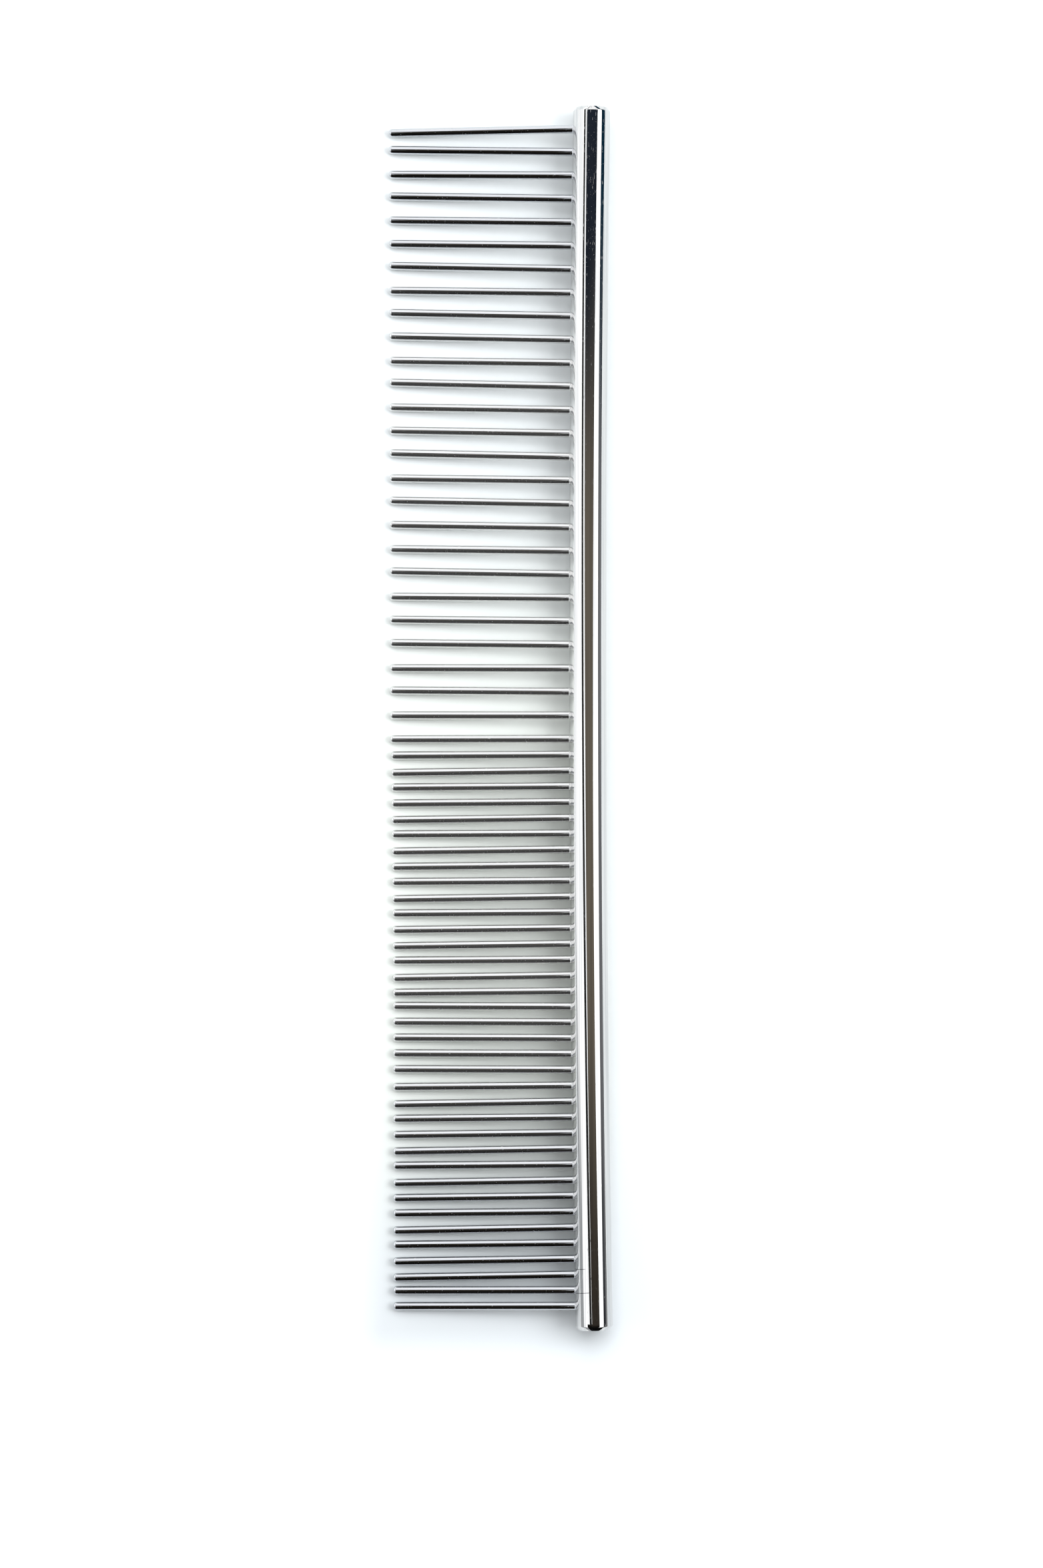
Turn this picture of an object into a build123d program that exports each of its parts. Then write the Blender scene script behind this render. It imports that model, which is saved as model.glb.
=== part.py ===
from build123d import *
from math import asin, atan2, cos, degrees, hypot, radians, sin, sqrt, tan
import os

# Steel grooming comb: 63 round pins pressed into one side of a solid round spine.
# It lies on a table, resting on the spine and on the tips of its teeth.
# +Z is up, +Y runs along the spine towards the widely spaced teeth, and the teeth point along -X.
# The origin is on the table under the middle of the comb's bounding box. Millimetres.

# Spine
SPINE_LENGTH = 190.0
SPINE_RADIUS = 2.9
COARSE_END_CHAMFER_RADIAL = 0.42
COARSE_END_CHAMFER_AXIAL = 0.6
FINE_END_CHAMFER_RADIAL = 0.56
FINE_END_CHAMFER_AXIAL = 0.8
# Pressing the pins into one side bows the rod towards them. The bare ends stay straight.
BOW_RADIUS = 5700.0
BOW_DEPTH = 0.79
COARSE_END_STRAIGHT = 2.2
FINE_END_STRAIGHT = 2.9

# Teeth
COARSE_COUNT = 27
FINE_COUNT = 36
COARSE_PITCH = 3.65
FINE_PITCH = 2.45
COARSE_END_MARGIN = 3.24
TOOTH_RADIUS = 0.635
TIP_ROUND = 0.45
# Distance from the spine's end-to-end axis to the line of the tips
COARSE_REACH = 31.7
FINE_REACH = 31.35
# The fine pins next to the coarse ones stand out further, by an amount that dies away over some pins
FINE_REACH_RISE = 0.22
FINE_RISE_PINS = 14
COARSE_PIN_LENGTH = 32.4
FINE_PIN_LENGTH = 32.05

# Sockets, measured from the outside of the spine
SOCKET_DEPTH = 4.5
DRILL_POINT_ANGLE = 118.0
DRILL_RUN_OUT = 1.0

# The pins fan out a little, because each one stands square to the bowed spine. Each also leans along the
# spine by what the pressing left: a positive lean turns its tip towards +Y, in degrees.
COARSE_LEAN_AT_ENDS = 0.2
COARSE_LEAN_RISE = 0.85
FIRST_TOOTH_LEAN = -1.45
FINE_LEAN = -0.3
STRAIGHT_GROUP_LEAN = 0.56
STRAIGHT_GROUP = range(16, 21)
LAST_TEETH_LEAN = 0.42
LAST_TEETH = range(FINE_COUNT - 2, FINE_COUNT)
LEAN_SCATTER = 0.25
SCATTER_STEP = 2.4

TEETH_PER_FINE_NODE = 2

# The table touches the crown of the spine's bow and the rounded tips, which sets the comb's slope.
slope_run = COARSE_REACH - BOW_DEPTH - TIP_ROUND
slope_flat = TOOTH_RADIUS - TIP_ROUND
slope_rise = SPINE_RADIUS - TIP_ROUND
slope = asin(slope_rise / hypot(slope_run, slope_flat)) - atan2(slope_flat, slope_run)
slope_cos = cos(slope)
slope_sin = sin(slope)

# The comb is flat, so it is drawn in one sloping plane: x points away from the teeth, y along the spine.
spine_axis_x = (COARSE_REACH * slope_cos - SPINE_RADIUS) / 2
spine_axis_z = SPINE_RADIUS + BOW_DEPTH * slope_sin
comb_plane = Plane(
    origin=(spine_axis_x, 0, spine_axis_z),
    x_dir=(slope_cos, 0, slope_sin),
    z_dir=(-slope_sin, 0, slope_cos),
)

# The bow's arc runs between the two straight ends.
coarse_end_y = SPINE_LENGTH / 2
fine_end_y = -SPINE_LENGTH / 2
bow_middle_y = (FINE_END_STRAIGHT - COARSE_END_STRAIGHT) / 2
bow_half_chord = (SPINE_LENGTH - COARSE_END_STRAIGHT - FINE_END_STRAIGHT) / 2
bow_half_angle = degrees(asin(bow_half_chord / BOW_RADIUS))
bow_centre_x = BOW_RADIUS - BOW_DEPTH


def spine_axis_at(y):
    """The spine axis in the comb's plane, on the bow, at a place y along the spine."""
    return bow_centre_x - sqrt(BOW_RADIUS**2 - (y - bow_middle_y) ** 2)


def scatter(number):
    """A repeatable uneven lean, between minus and plus LEAN_SCATTER."""
    return LEAN_SCATTER * sin(SCATTER_STEP * number)


def coarse_lean(index):
    if index == 0:
        return FIRST_TOOTH_LEAN
    share = index / (COARSE_COUNT - 1)
    return COARSE_LEAN_AT_ENDS + COARSE_LEAN_RISE * sin(radians(180 * share)) + scatter(index)


def fine_lean(index):
    if index in LAST_TEETH:
        return LAST_TEETH_LEAN
    if index in STRAIGHT_GROUP:
        return STRAIGHT_GROUP_LEAN
    return FINE_LEAN + scatter(COARSE_COUNT + index)


def fine_reach(index):
    share = max(0, 1 - index / FINE_RISE_PINS)
    return FINE_REACH + FINE_REACH_RISE * share


def tooth_planes(y, lean, reach, pin_length):
    """The pin's plane at its inner end and the socket's plane at its mouth, both facing the tip."""
    turn = radians(lean) + asin((y - bow_middle_y) / BOW_RADIUS)
    axis_x = spine_axis_at(y)
    towards_tip = comb_plane.from_local_coords(Vector(-cos(turn), sin(turn), 0))
    towards_tip = towards_tip - comb_plane.origin
    axis_point = comb_plane.from_local_coords(Vector(axis_x, y, 0))
    axis_to_tip = (reach + axis_x) / cos(turn)
    inner_end = axis_point + towards_tip * (axis_to_tip - pin_length)
    mouth = axis_point + towards_tip * SPINE_RADIUS
    along = comb_plane.y_dir
    pin_plane = Plane(origin=inner_end, x_dir=along, z_dir=towards_tip)
    socket_plane = Plane(origin=mouth, x_dir=along, z_dir=towards_tip)
    return pin_plane, socket_plane


coarse_teeth = []
for index in range(COARSE_COUNT):
    y = coarse_end_y - COARSE_END_MARGIN - index * COARSE_PITCH
    coarse_teeth.append(tooth_planes(y, coarse_lean(index), COARSE_REACH, COARSE_PIN_LENGTH))

last_coarse_y = coarse_end_y - COARSE_END_MARGIN - (COARSE_COUNT - 1) * COARSE_PITCH
fine_teeth = []
for index in range(FINE_COUNT):
    y = last_coarse_y - (index + 1) * FINE_PITCH
    fine_teeth.append(tooth_planes(y, fine_lean(index), fine_reach(index), FINE_PIN_LENGTH))

# The drill that cuts one socket: the mouth is at the origin and the point is down
drill_point_length = TOOTH_RADIUS / tan(radians(DRILL_POINT_ANGLE / 2))
with BuildPart() as socket_drill:
    with BuildSketch(Plane.XZ):
        with BuildLine():
            Polyline(
                (0, DRILL_RUN_OUT),
                (TOOTH_RADIUS, DRILL_RUN_OUT),
                (TOOTH_RADIUS, -SOCKET_DEPTH),
                (0, -SOCKET_DEPTH - drill_point_length),
                close=True,
            )
        make_face()
    revolve(axis=Axis.Z)

# Spine: the bowed stretch is turned about the bow's centre, then the straight ends are added
bow_axis = Axis(comb_plane.from_local_coords(Vector(bow_centre_x, bow_middle_y, 0)), comb_plane.z_dir)
bow_fine_end_y = bow_middle_y - bow_half_chord
bow_fine_end = comb_plane.from_local_coords(Vector(spine_axis_at(bow_fine_end_y), bow_fine_end_y, 0))
fine_end_direction = comb_plane.y_dir.rotate(Axis((0, 0, 0), comb_plane.z_dir), bow_half_angle)
with BuildPart() as spine:
    with BuildSketch(Plane(bow_fine_end, x_dir=comb_plane.z_dir, z_dir=fine_end_direction)):
        Circle(SPINE_RADIUS)
    revolve(axis=bow_axis, revolution_arc=-2 * bow_half_angle)
    extrude(spine.faces().sort_by(Axis.Y)[-1], amount=COARSE_END_STRAIGHT)
    extrude(spine.faces().sort_by(Axis.Y)[0], amount=FINE_END_STRAIGHT)
    coarse_end_face = spine.faces().filter_by(GeomType.PLANE).sort_by(Axis.Y)[-1]
    chamfer(
        coarse_end_face.edges(),
        COARSE_END_CHAMFER_RADIAL,
        COARSE_END_CHAMFER_AXIAL,
        reference=coarse_end_face,
    )
    fine_end_face = spine.faces().filter_by(GeomType.PLANE).sort_by(Axis.Y)[0]
    chamfer(
        fine_end_face.edges(),
        FINE_END_CHAMFER_RADIAL,
        FINE_END_CHAMFER_AXIAL,
        reference=fine_end_face,
    )
    with Locations(*[socket_plane for pin_plane, socket_plane in coarse_teeth + fine_teeth]):
        add(socket_drill.part, mode=Mode.SUBTRACT)


def build_teeth(planes, pin_length):
    """Straight round pins with rounded tips, each standing on its own plane."""
    with BuildPart() as teeth:
        for pin_plane in planes:
            with BuildSketch(pin_plane):
                Circle(TOOTH_RADIUS)
            extrude(amount=pin_length)
            towards_tip = Axis(pin_plane.origin, pin_plane.z_dir)
            tip = teeth.faces(Select.LAST).sort_by(towards_tip)[-1]
            fillet(tip.edges(), TIP_ROUND)
    return teeth.part


os.makedirs("parts", exist_ok=True)

spine.part.label = "spine"
export_step(spine.part, "parts/spine.step")

for number, (pin_plane, socket_plane) in enumerate(coarse_teeth, start=1):
    coarse_tooth = build_teeth([pin_plane], COARSE_PIN_LENGTH)
    coarse_tooth.label = f"coarse_tooth_{number:02d}"
    export_step(coarse_tooth, f"parts/{coarse_tooth.label}.step")

for first in range(0, FINE_COUNT, TEETH_PER_FINE_NODE):
    group = fine_teeth[first : first + TEETH_PER_FINE_NODE]
    fine_pair = build_teeth([pin_plane for pin_plane, socket_plane in group], FINE_PIN_LENGTH)
    fine_pair.label = f"fine_tooth_pair_{first // TEETH_PER_FINE_NODE + 1:02d}"
    export_step(fine_pair, f"parts/{fine_pair.label}.step")
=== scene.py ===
import math

import bpy
import numpy as np
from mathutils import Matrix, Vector


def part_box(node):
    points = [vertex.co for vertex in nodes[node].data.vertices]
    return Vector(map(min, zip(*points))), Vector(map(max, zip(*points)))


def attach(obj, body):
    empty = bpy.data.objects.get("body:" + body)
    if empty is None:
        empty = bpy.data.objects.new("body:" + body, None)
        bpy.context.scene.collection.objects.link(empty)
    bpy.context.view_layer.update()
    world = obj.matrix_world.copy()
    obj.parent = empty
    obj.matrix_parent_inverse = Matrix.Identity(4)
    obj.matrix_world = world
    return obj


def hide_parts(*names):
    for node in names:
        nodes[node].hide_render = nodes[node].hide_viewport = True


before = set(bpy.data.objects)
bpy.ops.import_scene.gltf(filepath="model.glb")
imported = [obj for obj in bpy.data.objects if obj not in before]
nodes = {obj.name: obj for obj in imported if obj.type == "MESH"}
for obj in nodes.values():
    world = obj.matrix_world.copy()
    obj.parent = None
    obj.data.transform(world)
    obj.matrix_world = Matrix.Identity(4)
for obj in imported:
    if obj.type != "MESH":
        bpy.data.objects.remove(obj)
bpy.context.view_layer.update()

# Everything is in metres, in the CAD frame: the comb lies on z = 0 with its spine along Y.
MM = 0.001

# Camera
SENSOR_HEIGHT_MM = 36.0
CAMERA_CLIP_START = 0.01
CAMERA_HEIGHT = 0.677
# Where the camera stands over the comb, from the middle of the line between the spine's end faces
CAMERA_OFFSET = (-11.14 * MM, -10.16 * MM)
CAMERA_ROLL = math.radians(-0.11)
# How much of the picture's height the spine takes
SPINE_SHARE_OF_HEIGHT = 0.7789

# Reading the CAD: how close to an end, a face or a skin a vertex counts as part of it
SPINE_END_DEPTH = 0.1 * MM
PIN_INNER_DEPTH = 0.02 * MM
PIN_TIP_DEPTH = 0.005 * MM
PIN_SKIN_DEPTH = 0.004 * MM
PIN_AXIS_PASSES = 3
FACE_DEPTH = 0.05 * MM
ROD_SKIN_DEPTH = 0.01 * MM
# The spine is bare for at least this far from its ends, and its chamfers are shorter than this
BARE_END = 2.5 * MM
LONGEST_CHAMFER = 3 * MM
# Half the step over which the spine's direction is measured
DIRECTION_STEP = 0.5 * MM

# Meshes
SPINE_SEGMENTS = 128
SPINE_RING_STEP = 0.8 * MM
END_FACE_RINGS = (0.2, 0.5, 0.8, 0.95)
EDGE_ROUND = 0.06 * MM
SHOULDER_ROUND = 0.24 * MM
EDGE_STEPS = 3
TOOTH_SEGMENTS = 40
TOOTH_BODY_RINGS = 8
# A pin leaves the spine at about this share of its length from the tip
EXPOSED_SHARE = 0.9
TIP_FACE_RINGS = (0.5, 0.9)
TIP_ARC_STEPS = 9
PLATING_FILLET = 0.13 * MM
FILLET_STEPS = 4
BURIED = 0.3 * MM
FLOOR_HALF_SIZE = 3.0

# The comb's footprint on the card, in millimetres: past the tips, under the spine, and half its length
TIPS_X, SPINE_X, HALF_LENGTH = 18.0, 13.0, 95.0

# Nickel plate
NICKEL = (0.71, 0.70, 0.69, 1)
NICKEL_STREAK = (0.60, 0.60, 0.60, 1)
CLEAR_PLATE = (0.66, 0.67, 0.69, 1)
CLEAR_PLATE_CLOUD = (0.60, 0.61, 0.63, 1)
BLOOMED_PLATE = (0.75, 0.745, 0.735, 1)
BLOOMED_PLATE_CLOUD = (0.69, 0.69, 0.685, 1)
BLOOM_DULLNESS = 0.06
CLOUD_DETAIL = (3.0, 0.55)
SPINE_CLOUD_SCALE = 90.0
TOOTH_CLOUD_SCALE = 120.0
SPINE_MARK_ROUGHNESS = 0.42
TOOTH_MARK_ROUGHNESS = 0.35
CROSSING_MARK_TURN = math.radians(55)
# Two deep scratches across the left of the spine, in millimetres: where along it each one is, its slope,
# and how far past SPINE_X it reaches
DEEP_SCRATCHES = ((-85.4, 0.10, 0.2), (-89.1, 0.12, 0.9))
SCRATCH_OUTER_WIDTH, SCRATCH_CORE_WIDTH = 0.10, 0.03
SCRATCH_FADE = 0.6
SCRATCH_STRENGTH = 0.75
SCRATCH_COLOUR = (0.12, 0.12, 0.13, 1)

# White card
CARD = (0.875, 0.905, 0.91, 1)
CARD_GRAIN = (0.845, 0.875, 0.88, 1)
# Painted shade: a greener, slightly darker tint painted on the card between the pins, where the comb's
# shade falls
PAINTED_SHADE_TINT_BETWEEN_PINS = (0.865, 0.89, 0.82, 1)
# Painted shade: a cooler, darker halo painted on the card around the comb's fine end
PAINTED_SHADE_NEAR_FINE_END = (0.81, 0.845, 0.865, 1)
BLACK = (0, 0, 0, 1)
# Scale, detail and roughness of the noise
PAPER_GRAIN = (900.0, 4.0, 0.6)
CARD_ROUGHNESS = 0.7


# ---------------------------------------------------------------- reading the CAD frame

def vertices_of(node):
    """The node's vertices as rows of x, y, z."""
    points = np.zeros(len(nodes[node].data.vertices) * 3, np.float32)
    nodes[node].data.vertices.foreach_get("co", points)
    return np.unique(np.round(points.reshape(-1, 3).astype(float), 8), axis=0)


def ring_centre(points, direction, depth):
    """The middle of the points that lie within a depth of the furthest one along a direction."""
    along = points @ np.array(direction)
    return Vector(points[along > along.max() - depth].mean(axis=0))


def pin_in(points):
    """A straight pin's inner end, its tip, its radius and how far back its rounding starts."""
    inward = np.array((1.0, 0.0, 0.0))
    for _ in range(PIN_AXIS_PASSES):
        inner = ring_centre(points, inward, PIN_INNER_DEPTH)
        tip = ring_centre(points, -inward, PIN_TIP_DEPTH)
        inward = np.array((inner - tip).normalized())
    offsets = points - np.array(tip)
    along = offsets @ inward
    across = np.linalg.norm(offsets - along[:, None] * inward, axis=1)
    radius = across.max()
    rounding = along[across > radius - PIN_SKIN_DEPTH].min()
    return {"inner": inner, "tip": tip, "radius": radius, "rounding": rounding}


def spine_line():
    """The spine's two end centres, the crown of its bow and its radius."""
    points = vertices_of("spine")
    low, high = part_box("spine")
    coarse_end = ring_centre(points, (0, 1, 0), SPINE_END_DEPTH)
    fine_end = ring_centre(points, (0, -1, 0), SPINE_END_DEPTH)
    near_end = points[np.abs(points[:, 1]) > high.y - BARE_END]
    radius = (near_end[:, 2].max() - near_end[:, 2].min()) / 2
    crown = Vector((low.x + radius, 0, low.z + radius))
    return coarse_end, fine_end, crown, radius


coarse_end, fine_end, crown, spine_radius = spine_line()
half_length = (coarse_end.y - fine_end.y) / 2
chord_middle = (coarse_end + fine_end) / 2
bow = crown - Vector((chord_middle.x, 0, chord_middle.z))


def spine_axis(y):
    """A point on the spine's bowed axis."""
    share = (y - chord_middle.y) / half_length
    base = chord_middle + (coarse_end - chord_middle) * share
    return base + bow * (1 - share * share)


def spine_direction(y):
    """The way the spine's axis runs at a place along it, towards the coarse end."""
    return (spine_axis(y + DIRECTION_STEP) - spine_axis(y - DIRECTION_STEP)).normalized()


# ---------------------------------------------------------------- mesh building

def mesh_from_rings(name, rings, first_point, last_point):
    """A closed skin over rings of points, with a fan at each end and a UV map: u round, v along."""
    count = len(rings[0])
    points = [tuple(p) for ring in rings for p in ring]
    first_index = len(points)
    points += [tuple(first_point), tuple(last_point)]
    faces, uvs = [], []
    rows = len(rings) - 1
    for row in range(rows):
        for column in range(count):
            after = (column + 1) % count
            a, b = row * count + column, row * count + after
            faces.append((a, b, b + count, a + count))
            u0, u1 = column / count, (column + 1) / count
            v0, v1 = row / rows, (row + 1) / rows
            uvs += [(u0, v0), (u1, v0), (u1, v1), (u0, v1)]
    last_row = rows * count
    for column in range(count):
        after = (column + 1) % count
        u0, u1 = column / count, (column + 1) / count
        faces.append((first_index, after, column))
        uvs += [((u0 + u1) / 2, 0), (u1, 0), (u0, 0)]
        faces.append((first_index + 1, last_row + column, last_row + after))
        uvs += [((u0 + u1) / 2, 1), (u0, 1), (u1, 1)]
    mesh = bpy.data.meshes.new(name)
    mesh.from_pydata(points, [], faces)
    layer = mesh.uv_layers.new(name="wrap")
    layer.data.foreach_set("uv", [value for uv in uvs for value in uv])
    mesh.polygons.foreach_set("use_smooth", [True] * len(mesh.polygons))
    mesh.validate()
    mesh.update()
    piece = bpy.data.objects.new(name, mesh)
    bpy.context.scene.collection.objects.link(piece)
    return piece


def rounded_corner(corner, before, after, radius, steps):
    """Points of an arc that rounds a corner of an outline, from the side before to the side after."""
    towards_before = (before - corner).normalized()
    towards_after = (after - corner).normalized()
    half_angle = towards_before.angle(towards_after) / 2
    reach = radius / math.tan(half_angle)
    centre = corner + (towards_before + towards_after).normalized() * radius / math.sin(half_angle)
    start, end = corner + towards_before * reach, corner + towards_after * reach
    arc = []
    for step in range(steps + 1):
        mixed = (start - centre).lerp(end - centre, step / steps)
        arc.append(centre + mixed.normalized() * radius)
    return arc


def spine_end_outline():
    """(distance from the end face, radius), from the face's edge to the full rod.

    It is measured at the coarse end, and used at both.
    """
    points = vertices_of("spine")
    middle = np.array(coarse_end)
    along = np.array(spine_direction(coarse_end.y))
    offsets = points - middle
    back = -offsets @ along
    across = np.linalg.norm(offsets + back[:, None] * along, axis=1)
    face_radius = across[back < FACE_DEPTH].max()
    on_rod = across > spine_radius - ROD_SKIN_DEPTH
    chamfer_back = back[on_rod & (back < LONGEST_CHAMFER)].min()
    centre = Vector((0, 0))
    face_edge = Vector((0, face_radius))
    shoulder = Vector((chamfer_back, spine_radius))
    rod = Vector((chamfer_back * 4, spine_radius))
    outline = [Vector((0, face_radius * share)) for share in END_FACE_RINGS]
    outline += rounded_corner(face_edge, centre, shoulder, EDGE_ROUND, EDGE_STEPS)
    outline += rounded_corner(shoulder, face_edge, rod, SHOULDER_ROUND, EDGE_STEPS)
    outline.append(Vector((chamfer_back * 2, spine_radius)))
    return outline


def build_spine():
    """The round rod, bowed towards the teeth, with a chamfer at each end."""
    outline = spine_end_outline()
    straight = outline[-1].x
    length = coarse_end.y - fine_end.y
    body_steps = int((length - 2 * straight) / SPINE_RING_STEP)
    stations = [(fine_end.y + p.x, p.y) for p in outline]
    for step in range(1, body_steps):
        y = fine_end.y + straight + (length - 2 * straight) * step / body_steps
        stations.append((y, spine_radius))
    stations += [(coarse_end.y - p.x, p.y) for p in reversed(outline)]
    rings = []
    for y, radius in stations:
        centre, direction = spine_axis(y), spine_direction(y)
        side = direction.cross(Vector((0, 0, 1))).normalized()
        up = side.cross(direction)
        ring = []
        for column in range(SPINE_SEGMENTS):
            turn = 2 * math.pi * column / SPINE_SEGMENTS
            ring.append(centre + side * radius * math.sin(turn) + up * radius * math.cos(turn))
        rings.append(ring)
    return mesh_from_rings("spine_rod", rings, spine_axis(fine_end.y), spine_axis(coarse_end.y))


def reach_to_spine(pin, inward, sideways, radius):
    """How far from the tip a line along the pin, at a place on its skin, meets the spine's skin."""
    start = pin["tip"] + sideways * radius
    root_y = start.y + inward.y * (pin["inner"] - pin["tip"]).length * EXPOSED_SHARE
    middle, along = spine_axis(root_y), spine_direction(root_y)
    gap = start - middle
    gap -= along * gap.dot(along)
    heading = inward - along * inward.dot(along)
    a = heading.dot(heading)
    b = gap.dot(heading)
    c = gap.dot(gap) - spine_radius**2
    return (-b - math.sqrt(b * b - a * c)) / a


def build_tooth(name, pin):
    """A polished pin with a rounded tip and a small fillet of plating where it enters the spine."""
    inward = (pin["inner"] - pin["tip"]).normalized()
    side = inward.cross(Vector((0, 0, 1))).normalized()
    up = side.cross(inward)
    radius, rounding = pin["radius"], pin["rounding"]
    flat = radius - rounding
    turns = [2 * math.pi * column / TOOTH_SEGMENTS for column in range(TOOTH_SEGMENTS)]
    skins = [side * math.sin(turn) + up * math.cos(turn) for turn in turns]

    outline = [(0.0, flat * share) for share in TIP_FACE_RINGS]
    for step in range(TIP_ARC_STEPS + 1):
        turn = math.pi / 2 * step / TIP_ARC_STEPS
        outline.append((rounding * (1 - math.cos(turn)), flat + rounding * math.sin(turn)))
    rings = [[pin["tip"] + inward * back + skin * out for skin in skins] for back, out in outline]

    roots = [reach_to_spine(pin, inward, skin, radius) for skin in skins]
    for step in range(1, TOOTH_BODY_RINGS + 1):
        share = step / TOOTH_BODY_RINGS
        ring = []
        for skin, root in zip(skins, roots):
            back = rounding + (root - PLATING_FILLET - rounding) * share
            ring.append(pin["tip"] + inward * back + skin * radius)
        rings.append(ring)
    for step in range(1, FILLET_STEPS + 1):
        turn = math.pi / 2 * step / FILLET_STEPS
        out = radius + PLATING_FILLET * (1 - math.cos(turn))
        short = PLATING_FILLET * (1 - math.sin(turn))
        ring = []
        for skin in skins:
            back = reach_to_spine(pin, inward, skin, out) - short
            ring.append(pin["tip"] + inward * back + skin * out)
        rings.append(ring)
    last = max(roots) + BURIED
    rings.append([pin["tip"] + inward * last + skin * radius for skin in skins])
    return mesh_from_rings(name, rings, pin["tip"], pin["tip"] + inward * last)


# ---------------------------------------------------------------- node helpers

class Nodes:
    """Short calls for wiring a node tree."""

    def __init__(self, tree):
        self.tree = tree

    def add(self, kind, **settings):
        node = self.tree.nodes.new(kind)
        for name, value in settings.items():
            setattr(node, name, value)
        return node

    def link(self, source, target):
        """Wires one socket to another, or sets the other to a plain value."""
        if isinstance(source, bpy.types.NodeSocket):
            self.tree.links.new(source, target)
        else:
            target.default_value = source

    def math(self, operation, *values):
        node = self.add("ShaderNodeMath", operation=operation)
        for value, socket in zip(values, node.inputs):
            self.link(value, socket)
        return node.outputs[0]

    def plus(self, a, b):
        return self.math("ADD", a, b)

    def minus(self, a, b):
        return self.math("SUBTRACT", a, b)

    def times(self, a, b):
        return self.math("MULTIPLY", a, b)

    def larger(self, a, b):
        return self.math("MAXIMUM", a, b)

    def step(self, value, low, high, start=0.0, end=1.0):
        """A smooth rise from start to end as the value goes from low to high."""
        node = self.add("ShaderNodeMapRange", interpolation_type="SMOOTHSTEP", clamp=True)
        for socket, number in zip(node.inputs, (value, low, high, start, end)):
            self.link(number, socket)
        return node.outputs[0]

    def above(self, value, place, soft):
        """One where the value is above a place, with a soft edge."""
        return self.step(value, place - soft, place + soft)

    def below(self, value, place, soft):
        return self.step(value, place + soft, place - soft)

    def band(self, value, limits, soft):
        """One between two limits and nought outside them, with soft edges."""
        low, high = limits
        fall = self.step(value, high - soft, high + soft, start=1.0, end=0.0)
        return self.times(self.above(value, low, soft), fall)

    def mix(self, factor, a, b):
        node = self.add("ShaderNodeMix", data_type="RGBA", clamp_factor=True)
        self.link(factor, node.inputs["Factor"])
        self.link(a, node.inputs[6])
        self.link(b, node.inputs[7])
        return node.outputs[2]

    def noise(self, vector, scale, detail, roughness):
        node = self.add("ShaderNodeTexNoise", noise_dimensions="3D")
        self.link(vector, node.inputs["Vector"])
        self.link(scale, node.inputs["Scale"])
        self.link(detail, node.inputs["Detail"])
        self.link(roughness, node.inputs["Roughness"])
        return node.outputs["Fac"]

    def remap(self, vector, setting, value):
        """The vector scaled or rotated."""
        node = self.add("ShaderNodeMapping")
        self.link(vector, node.inputs["Vector"])
        node.inputs[setting].default_value = value
        return node.outputs[0]

    def split(self, vector):
        node = self.add("ShaderNodeSeparateXYZ")
        self.link(vector, node.inputs[0])
        return node.outputs


def new_material(name):
    """A material, its wiring, its shader, and a place on it: the vector, and X and Y in millimetres."""
    material = bpy.data.materials.new(name)
    material.use_nodes = True
    tree = material.node_tree
    tree.nodes.clear()
    wiring = Nodes(tree)
    shader = wiring.add("ShaderNodeBsdfPrincipled")
    output = wiring.add("ShaderNodeOutputMaterial")
    tree.links.new(shader.outputs[0], output.inputs["Surface"])
    place = wiring.add("ShaderNodeTexCoord").outputs["Object"]
    axes = wiring.split(place)
    x, y = [wiring.times(axes[index], 1 / MM) for index in (0, 1)]
    return material, wiring, shader, place, x, y


def flecks(wiring, place, cell, cut):
    """A mask of small marks: noise with cells of a size in millimetres, where it rises past a cut."""
    scale = tuple(1 / (size * MM) for size in cell)
    return wiring.step(wiring.noise(wiring.remap(place, "Scale", scale), 1.0, 1.0, 0.5), *cut)


def set_roughness(wiring, shader, haze, marks, mark_roughness):
    wiring.link(wiring.plus(haze, wiring.times(marks, mark_roughness)), shader.inputs["Roughness"])


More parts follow.
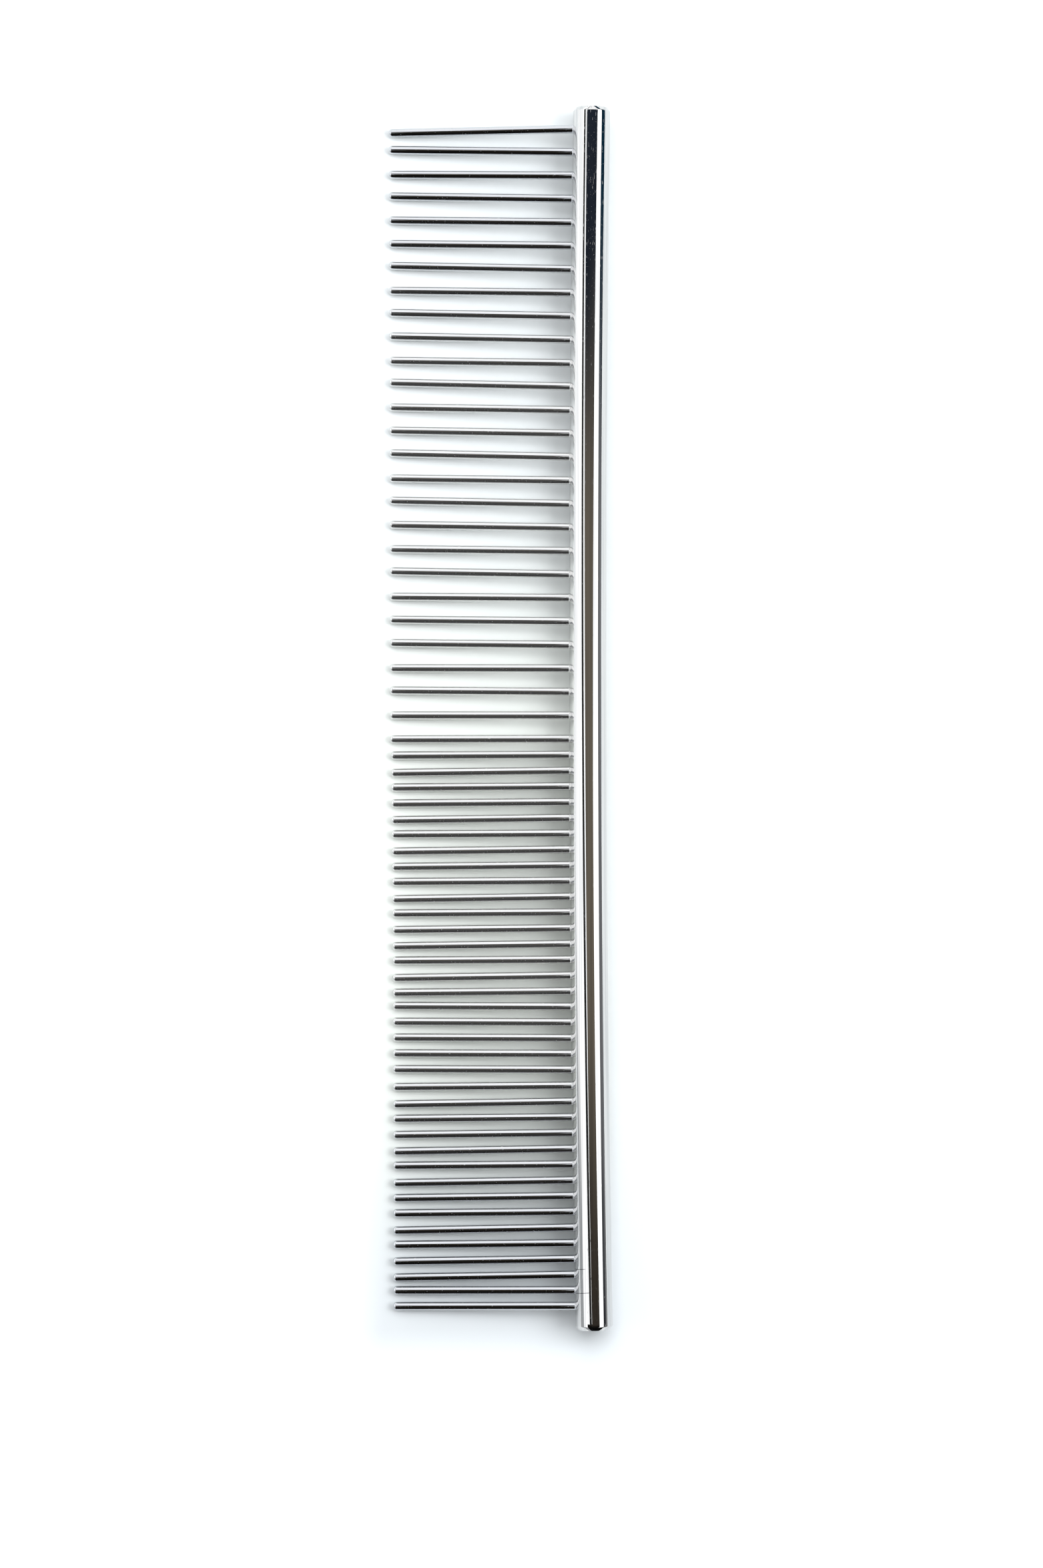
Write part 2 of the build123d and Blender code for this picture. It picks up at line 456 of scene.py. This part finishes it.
def spine_chrome():
    """Bright nickel plate, worn and scratched most near the coarse end, with faint streaks along it."""
    material, wiring, shader, place, x, y = new_material("spine_chrome")
    coarse_end_wear = wiring.step(y, 20.0, 85.0, start=0.25, end=1.0)
    fine_end_wear = wiring.step(y, -70.0, -90.0, start=0.0, end=0.3)
    lengthwise = flecks(wiring, place, (0.08, 1.2, 0.08), (0.68, 0.75))
    specks = flecks(wiring, place, (0.10, 0.16, 0.10), (0.72, 0.78))
    slanted = wiring.remap(place, "Rotation", (0.0, 0.0, CROSSING_MARK_TURN))
    crossing = flecks(wiring, slanted, (0.07, 1.8, 0.07), (0.75, 0.81))
    marks = wiring.larger(wiring.larger(lengthwise, specks), crossing)
    marks = wiring.times(marks, wiring.plus(coarse_end_wear, fine_end_wear))
    clouds = wiring.noise(place, SPINE_CLOUD_SCALE, *CLOUD_DETAIL)
    haze = wiring.step(clouds, 0.35, 0.75, start=0.02, end=0.05)
    set_roughness(wiring, shader, haze, marks, SPINE_MARK_ROUGHNESS)

    streaks = flecks(wiring, place, (0.35, 40.0, 0.35), (0.42, 0.62))
    tint = wiring.mix(streaks, NICKEL, NICKEL_STREAK)
    aside = wiring.minus(x, SPINE_X)
    for scratch_y, slope, reach in DEEP_SCRATCHES:
        middle = wiring.plus(wiring.times(aside, slope), scratch_y)
        drift = wiring.math("ABSOLUTE", wiring.minus(y, middle))
        line = wiring.step(drift, SCRATCH_OUTER_WIDTH, SCRATCH_CORE_WIDTH)
        scratch = wiring.times(line, wiring.step(aside, reach, reach - SCRATCH_FADE))
        tint = wiring.mix(wiring.times(scratch, SCRATCH_STRENGTH), tint, SCRATCH_COLOUR)
    wiring.link(tint, shader.inputs["Base Color"])
    shader.inputs["Metallic"].default_value = 1.0
    return material


def tooth_chrome():
    """The same plate on the pins: finer marks, and a faint dull bloom over the middle of the comb."""
    material, wiring, shader, place, _, y = new_material("tooth_chrome")
    bloom = wiring.times(wiring.step(y, -85.0, -40.0), wiring.step(y, 88.0, 45.0))
    specks = flecks(wiring, place, (0.35, 0.12, 0.12), (0.70, 0.76))
    clouds = wiring.noise(place, TOOTH_CLOUD_SCALE, *CLOUD_DETAIL)
    haze = wiring.step(clouds, 0.3, 0.7, start=0.03, end=0.06)
    set_roughness(wiring, shader, haze, specks, TOOTH_MARK_ROUGHNESS)
    clear = wiring.mix(clouds, CLEAR_PLATE, CLEAR_PLATE_CLOUD)
    bloomed = wiring.mix(clouds, BLOOMED_PLATE, BLOOMED_PLATE_CLOUD)
    wiring.link(wiring.mix(bloom, clear, bloomed), shader.inputs["Base Color"])
    metallic = wiring.minus(1.0, wiring.times(bloom, BLOOM_DULLNESS))
    wiring.link(metallic, shader.inputs["Metallic"])
    return material


def floor_paper():
    """White card with painted shade: a little greener shade tint between the pins, a cooler painted
    shade around the fine end, and painted shade that dims the card under the comb towards the fine end.
    """
    material, wiring, shader, place, x, y = new_material("floor_paper")
    beside = wiring.larger(wiring.minus(-TIPS_X, x), wiring.minus(x, SPINE_X))
    beside = wiring.larger(beside, 0.0)
    beyond = wiring.minus(wiring.math("ABSOLUTE", y), HALF_LENGTH)
    beyond = wiring.larger(beyond, 0.0)
    squares = [wiring.times(distance, distance) for distance in (beside, beyond)]
    away = wiring.math("SQRT", wiring.plus(*squares))
    under = wiring.step(away, 6.0, 0.0)
    near = wiring.step(away, 32.0, 16.0)
    grain = wiring.noise(place, *PAPER_GRAIN)
    card = wiring.mix(grain, CARD, CARD_GRAIN)
    # Painted shade: the greener shade tint, painted under the comb and stronger towards the fine end
    painted_shade_tint = wiring.times(under, wiring.step(y, 45.0, -10.0, start=0.0, end=0.6))
    card = wiring.mix(painted_shade_tint, card, PAINTED_SHADE_TINT_BETWEEN_PINS)
    # Painted shade: cooler, darker card painted around the fine end
    painted_fine_end_shade = wiring.times(near, wiring.step(y, -55.0, -95.0))
    card = wiring.mix(painted_fine_end_shade, card, PAINTED_SHADE_NEAR_FINE_END)
    # Painted shade: the card under the comb is painted up to 16% darker, blended towards BLACK, towards
    # the fine end
    painted_shade_under_comb = wiring.times(under, wiring.step(y, -15.0, -95.0, start=0.0, end=0.16))
    wiring.link(wiring.mix(painted_shade_under_comb, card, BLACK), shader.inputs["Base Color"])
    shader.inputs["Roughness"].default_value = CARD_ROUGHNESS
    return material


# ---------------------------------------------------------------- surroundings

ROOM_TINT = (0.985, 1.0, 1.015)
DEGREES_PER_RADIAN = 180 / math.pi


def grey(level, tint=ROOM_TINT):
    return (level * tint[0], level * tint[1], level * tint[2], 1)


# The tilts between which the slanting edges go on moving
LOWEST_TILT, HIGHEST_TILT = -8.0, 9.5
# What the steel mirrors overhead and in front: brown towards the fine end, blue towards the coarse end
CEILING_FINE_END = grey(0.035, (1.2, 1.0, 0.8))
CEILING_MIDDLE = grey(0.15, (1.1, 0.95, 0.75))
CEILING_COARSE_END = grey(0.03, (0.65, 0.85, 1.25))
LENS_GLOW_TILT = (-4.5, 5.0)
FRONT = grey(0.004)
FRONT_GLOW = grey(0.016, (1.15, 1.0, 0.8))
FRONT_GLOW_ALONG = (-48, -30)
# Behind the coarse end
BACK_HIGH = grey(1.4)
BACK_HIGH_TILT = (19, 75)
BACK_SEAM_TILT = (32, 39)
BACK_SEAM = grey(1.0, (0.96, 0.96, 1.06))
# Its low and left parts: the bearings and how soft they are, then the heights and how soft they are
BACK_LOW_PART = ((62, 115), 6, (-30, 29), 4)
BACK_LEFT_PART = ((112, 160), 6, (-30, 58), 5)
BACK_LOW = grey(1.3)
# At the left: where the bright wall and the dark lip start and end, and how far each edge moves for a
# degree of tilt
LEFT_WALL = grey(1.5)
LEFT_EDGE, LEFT_SLANT = -17.0, 1.4
LIP = grey(0.03)
LIP_START, LIP_START_SLANT = -37.0, 1.2
LIP_END, LIP_END_SLANT = -24.7, 1.45
LOW_LEFT_ACROSS = (-180, -66)
LOW_LEFT = grey(0.45, (0.95, 1.0, 1.05))
# At the right
RIGHT_WALL = grey(1.3)
RIGHT_EDGE, RIGHT_SLANT = 30.5, 0.8
WINDOW = grey(1.6)
WINDOW_END = 66
WINDOW_ALONG = (-42, 42)
STRIP_EDGE = 65
STRIP_COARSE_END = grey(0.03, (0.2, 1.0, 1.9))
STRIP_MIDDLE = grey(0.2, (0.96, 0.99, 1.05))
STRIP_FINE_END = grey(0.03, (0.9, 0.98, 1.2))
# Past the furthest angle there is
BEHIND = 200

BACKDROP = (0.96, 0.97, 0.97, 1)
LAMP_COLOUR = (0.975, 1.0, 1.02)


class Room:
    """The room that the steel mirrors, as colours for the directions seen from the comb.

    Angles are in degrees: "across" and "along" tip from straight up towards +X and +Y, "tilt" rises
    from the plane square to the spine towards +Y, "height" rises from the horizon and "bearing"
    turns from +X towards +Y.
    """

    def __init__(self, wiring, direction):
        self.wiring = wiring
        x, y, z = wiring.split(direction)
        self.across = self.angle("ARCTAN2", x, z)
        self.along = self.angle("ARCTAN2", y, z)
        self.tilt = self.angle("ARCSINE", y)
        self.bearing = self.angle("ARCTAN2", y, x)
        self.height = self.angle("ARCSINE", z)
        self.near_tilt = wiring.math("MINIMUM", wiring.larger(self.tilt, LOWEST_TILT), HIGHEST_TILT)
        self.not_front = wiring.step(self.along, -70, -20)
        self.lens_glow = wiring.band(self.tilt, LENS_GLOW_TILT, soft=2.2)

    def angle(self, operation, *values):
        return self.wiring.times(self.wiring.math(operation, *values), DEGREES_PER_RADIAN)

    def moved(self, angle, share_of_tilt):
        """An angle moved by a share of the tilt, so that an edge drawn with it slants."""
        return self.wiring.plus(angle, self.wiring.times(self.near_tilt, share_of_tilt))

    def patch(self, colour, value, limits, soft, other, other_limits, other_soft, fill):
        """The colour with a soft rectangle of another between limits of two angles."""
        mask = self.wiring.band(value, limits, soft)
        mask = self.wiring.times(mask, self.wiring.band(other, other_limits, other_soft))
        return self.wiring.mix(mask, colour, fill)

    def overhead_and_front(self):
        """The dark ceiling, blue over the coarse end and brown over the fine, and the darker front."""
        wiring = self.wiring
        ceiling = wiring.mix(wiring.step(self.tilt, -3, 2), CEILING_FINE_END, CEILING_COARSE_END)
        ceiling = wiring.mix(self.lens_glow, ceiling, CEILING_MIDDLE)
        front = wiring.mix(wiring.band(self.along, FRONT_GLOW_ALONG, soft=7), FRONT, FRONT_GLOW)
        return wiring.mix(wiring.step(self.along, -14, -8), front, ceiling)

    def back(self, colour):
        """The bright wall behind the coarse end, with a fainter seam, and its low and left parts."""
        wiring = self.wiring
        colour = wiring.mix(wiring.band(self.tilt, BACK_HIGH_TILT, soft=0.8), colour, BACK_HIGH)
        colour = wiring.mix(wiring.band(self.tilt, BACK_SEAM_TILT, soft=2), colour, BACK_SEAM)
        for bearing, bearing_soft, height, height_soft in (BACK_LOW_PART, BACK_LEFT_PART):
            colour = self.patch(
                colour, self.bearing, bearing, bearing_soft, self.height, height, height_soft, BACK_LOW
            )
        return colour

    def left(self, colour):
        """The bright left wall, whose edge slants so the ceiling narrows forwards, and a dark lip."""
        wiring = self.wiring
        edge = self.moved(self.across, LEFT_SLANT)
        edge = wiring.plus(edge, wiring.step(self.tilt, -8.8, -8.0, start=30.0, end=0.0))
        edge = wiring.plus(edge, wiring.step(self.tilt, 0.5, -7.0, start=0.0, end=6.0))
        wall = wiring.times(wiring.below(edge, LEFT_EDGE, soft=0.7), self.not_front)
        colour = wiring.mix(wall, colour, LEFT_WALL)
        lip_start = wiring.above(self.moved(self.across, LIP_START_SLANT), LIP_START, soft=0.5)
        lip_end = wiring.below(self.moved(self.across, LIP_END_SLANT), LIP_END, soft=0.5)
        lip = wiring.times(wiring.times(lip_start, lip_end), wiring.step(self.tilt, -9.5, -8.5))
        colour = wiring.mix(lip, colour, LIP)
        low = wiring.band(self.across, LOW_LEFT_ACROSS, soft=3)
        low = wiring.times(low, wiring.step(self.tilt, -2, -7))
        return wiring.mix(low, colour, LOW_LEFT)

    def right(self, colour):
        """The bright right wall, whose edge slants over the coarse end, its window and a dark strip."""
        wiring = self.wiring
        slant = wiring.times(wiring.larger(self.near_tilt, 0.0), RIGHT_SLANT)
        edge = wiring.minus(self.across, slant)
        edge = wiring.minus(edge, wiring.step(self.tilt, -3.0, -7.0, start=0.0, end=4.0))
        wall = wiring.times(wiring.band(edge, (RIGHT_EDGE, BEHIND), soft=0.7), self.not_front)
        colour = wiring.mix(wall, colour, RIGHT_WALL)
        colour = self.patch(
            colour, edge, (RIGHT_EDGE, WINDOW_END), 0.7, self.along, WINDOW_ALONG, 8, WINDOW
        )
        tint = wiring.mix(wiring.step(self.tilt, 2, -4), STRIP_COARSE_END, STRIP_FINE_END)
        tint = wiring.mix(self.lens_glow, tint, STRIP_MIDDLE)
        lowered = wiring.plus(self.across, wiring.step(self.tilt, 0.0, -7.0, start=0.0, end=4.0))
        strip = wiring.band(lowered, (STRIP_EDGE, BEHIND), soft=1.2)
        return wiring.mix(wiring.times(strip, self.not_front), colour, tint)

    def colour(self):
        return self.right(self.left(self.back(self.overhead_and_front())))


def studio():
    """The mirrored room as the world, and a plain pale backdrop where the camera sees past the card."""
    world = bpy.data.worlds.new("studio")
    bpy.context.scene.world = world
    world.use_nodes = True
    tree = world.node_tree
    tree.nodes.clear()
    wiring = Nodes(tree)
    room = Room(wiring, wiring.add("ShaderNodeTexCoord").outputs["Generated"])
    sky = wiring.add("ShaderNodeBackground")
    wiring.link(room.colour(), sky.inputs["Color"])
    backdrop = wiring.add("ShaderNodeBackground")
    backdrop.inputs["Color"].default_value = BACKDROP
    seen = wiring.add("ShaderNodeLightPath").outputs["Is Camera Ray"]
    choice = wiring.add("ShaderNodeMixShader")
    tree.links.new(seen, choice.inputs[0])
    tree.links.new(sky.outputs[0], choice.inputs[1])
    tree.links.new(backdrop.outputs[0], choice.inputs[2])
    output = wiring.add("ShaderNodeOutputWorld")
    tree.links.new(choice.outputs[0], output.inputs["Surface"])


def add_softbox(name, place, size, watts):
    """A large lamp that looks at the comb and lights the floor without showing in the polish."""
    data = bpy.data.lights.new(name, "AREA")
    data.shape = "RECTANGLE"
    data.size, data.size_y = size
    data.energy = watts
    data.color = LAMP_COLOUR
    lamp = bpy.data.objects.new(name, data)
    bpy.context.scene.collection.objects.link(lamp)
    lamp.location = place
    lamp.rotation_euler = Vector(place).to_track_quat("Z", "Y").to_euler()
    lamp.visible_camera = False
    lamp.visible_glossy = False


def build_lamps():
    add_softbox("right_softbox", place=(0.55, 0.10, 0.55), size=(0.5, 0.4), watts=3.1)
    add_softbox("top_softbox", place=(0.0, 0.27, 0.55), size=(0.6, 0.6), watts=1.75)
    add_softbox("back_left_softbox", place=(-0.45, 0.40, 0.16), size=(0.4, 0.15), watts=0.33)
    add_softbox("left_softbox", place=(-0.60, 0.05, 0.16), size=(0.5, 0.15), watts=0.28)
    add_softbox("front_softbox", place=(0.06, -0.50, 0.16), size=(0.5, 0.15), watts=0.5)


def build_floor():
    mesh = bpy.data.meshes.new("floor")
    low, high = -FLOOR_HALF_SIZE, FLOOR_HALF_SIZE
    corners = [(low, low, 0), (high, low, 0), (high, high, 0), (low, high, 0)]
    mesh.from_pydata(corners, [], [(0, 1, 2, 3)])
    floor = bpy.data.objects.new("floor", mesh)
    floor.data.materials.append(floor_paper())
    bpy.context.scene.collection.objects.link(floor)


def build_camera():
    """The photograph's view, from straight above."""
    camera = bpy.data.cameras.new("camera")
    camera.sensor_fit = "VERTICAL"
    camera.sensor_height = SENSOR_HEIGHT_MM
    distance = CAMERA_HEIGHT - chord_middle.z
    seen_height = 2 * half_length / SPINE_SHARE_OF_HEIGHT
    camera.lens = SENSOR_HEIGHT_MM * distance / seen_height
    camera.clip_start = CAMERA_CLIP_START
    holder = bpy.data.objects.new("camera", camera)
    middle = chord_middle + Vector((*CAMERA_OFFSET, 0))
    holder.location = (middle.x, middle.y, CAMERA_HEIGHT)
    holder.rotation_euler = (0, 0, CAMERA_ROLL)
    bpy.context.scene.collection.objects.link(holder)
    bpy.context.scene.camera = holder


# ---------------------------------------------------------------- assembly

def finish_piece(piece, material, node):
    piece.data.materials.append(material)
    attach(piece, "root")
    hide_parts(node)


build_camera()
build_floor()
studio()
build_lamps()

finish_piece(build_spine(), spine_chrome(), "spine")

tooth_material = tooth_chrome()
coarse_nodes = sorted(name for name in nodes if name.startswith("coarse_tooth"))
fine_nodes = sorted(name for name in nodes if name.startswith("fine_tooth"))
for number, node in enumerate(coarse_nodes, start=1):
    piece = build_tooth(f"coarse_pin_{number:02d}", pin_in(vertices_of(node)))
    finish_piece(piece, tooth_material, node)

# Each fine node holds two pins, and the one nearer the coarse end comes first
fine_number = 0
for node in fine_nodes:
    points = vertices_of(node)
    low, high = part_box(node)
    middle_y = (low.y + high.y) / 2
    for half in (points[points[:, 1] > middle_y], points[points[:, 1] <= middle_y]):
        fine_number += 1
        piece = build_tooth(f"fine_pin_{fine_number:02d}", pin_in(half))
        finish_piece(piece, tooth_material, node)

bpy.context.scene.view_settings.view_transform = "Standard"
